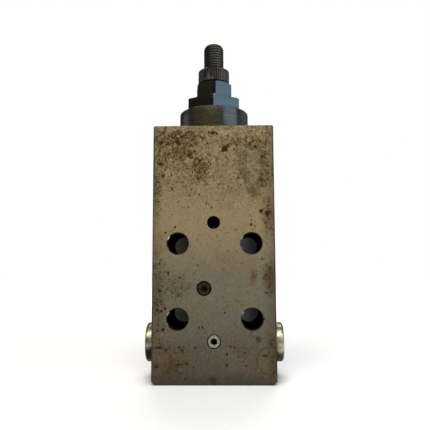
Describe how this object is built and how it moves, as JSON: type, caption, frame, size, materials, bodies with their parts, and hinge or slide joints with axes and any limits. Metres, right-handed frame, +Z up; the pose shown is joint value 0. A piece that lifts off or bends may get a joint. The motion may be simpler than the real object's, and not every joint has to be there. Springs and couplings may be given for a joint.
{
  "type": "hydraulic control valve",
  "caption": "Block-type hydraulic control valve: drilled steel block with mounting holes, side plugs and a screw-in relief cartridge with adjusting spindle and lock nut on top.",
  "frame": {"origin": "centre of the block's bottom face, which is also the bottom centre of the bounding box", "axes": "+Z up along the adjusting spindle, +X along the spool towards the right-hand end plug, -Y out of the front face that holds the sunk plugs, +Y out of the ported mounting face"},
  "size_m": [0.0924, 0.05, 0.2354],
  "materials": {
    "block_steel": "milled bar, dull and lightly rusted, with dark spots",
    "turned_steel": "fine-turned and darkened",
    "blackened_steel": "blackened, semi-gloss",
    "phosphated_steel": "dark brown-grey phosphate, dull",
    "yellow_zinc": "yellow chromated zinc plating",
    "screw_steel": "plain machined, worn",
    "ground_steel": "ground and hardened",
    "spring_steel": "oiled spring steel",
    "seal_rubber": "black nitrile rubber"
  },
  "bodies": {
    "root": {"valve_body": "block_steel", "spacer_collar": "turned_steel", "cartridge_housing": "blackened_steel", "housing_ring": "seal_rubber", "relief_seat": "ground_steel", "seat_ring": "seal_rubber", "relief_spring": "spring_steel", "spool_spring_left": "spring_steel", "spool_spring_right": "spring_steel", "end_plug_left": "yellow_zinc", "end_plug_right": "yellow_zinc", "end_plug_ring_left": "seal_rubber", "end_plug_ring_right": "seal_rubber", "middle_plug": "screw_steel", "lower_plug": "screw_steel", "tank_port_ring": "seal_rubber", "pressure_port_ring": "seal_rubber"},
    "spring_carrier": {"spring_plate": "spring_steel"},
    "spindle": {"adjusting_spindle": "phosphated_steel", "spindle_ring": "seal_rubber", "spindle_circlip": "spring_steel"},
    "nut_ring": {"lock_nut_ring": "seal_rubber"},
    "nut": {"lock_nut": "blackened_steel"},
    "poppet": {"relief_poppet": "ground_steel"},
    "spool": {"main_spool": "ground_steel", "spring_cup_left": "spring_steel", "spring_cup_right": "spring_steel"}
  },
  "joints": [
    {"name": "spring_plate_rise", "type": "slide", "parent": "root", "child": "spring_carrier", "axis": [0, 0, 1], "range_m": [0, 0.006], "deforming": ["relief_spring"]},
    {"name": "spindle_turn", "type": "hinge", "parent": "spring_carrier", "child": "spindle", "pos_m": [0, 0, 0.1927], "axis": [0, 0, 1], "range_deg": [0, 1440.5]},
    {"name": "lock_nut_rise", "type": "slide", "parent": "root", "child": "nut_ring", "axis": [0, 0, 1], "range_m": [0, 0.00075]},
    {"name": "lock_nut_turn", "type": "hinge", "parent": "nut_ring", "child": "nut", "pos_m": [0, 0, 0.1927], "axis": [0, 0, 1], "range_deg": [0, 180.5]},
    {"name": "poppet_lift", "type": "slide", "parent": "root", "child": "poppet", "axis": [0, 0, 1], "range_m": [0, 0.0015], "stiffness_N_per_m": 1500, "springref_m": -0.001},
    {"name": "spool_shift", "type": "slide", "parent": "root", "child": "spool", "axis": [1, 0, 0], "range_m": [-0.004, 0.004], "stiffness_N_per_m": 1500, "deforming": ["spool_spring_left", "spool_spring_right"]}
  ],
  "couplings": [
    {"joint": "spindle_turn", "follows": "spring_plate_rise", "rad_per_m": 4188.8},
    {"joint": "lock_nut_turn", "follows": "lock_nut_rise", "rad_per_m": 4188.8}
  ]
}
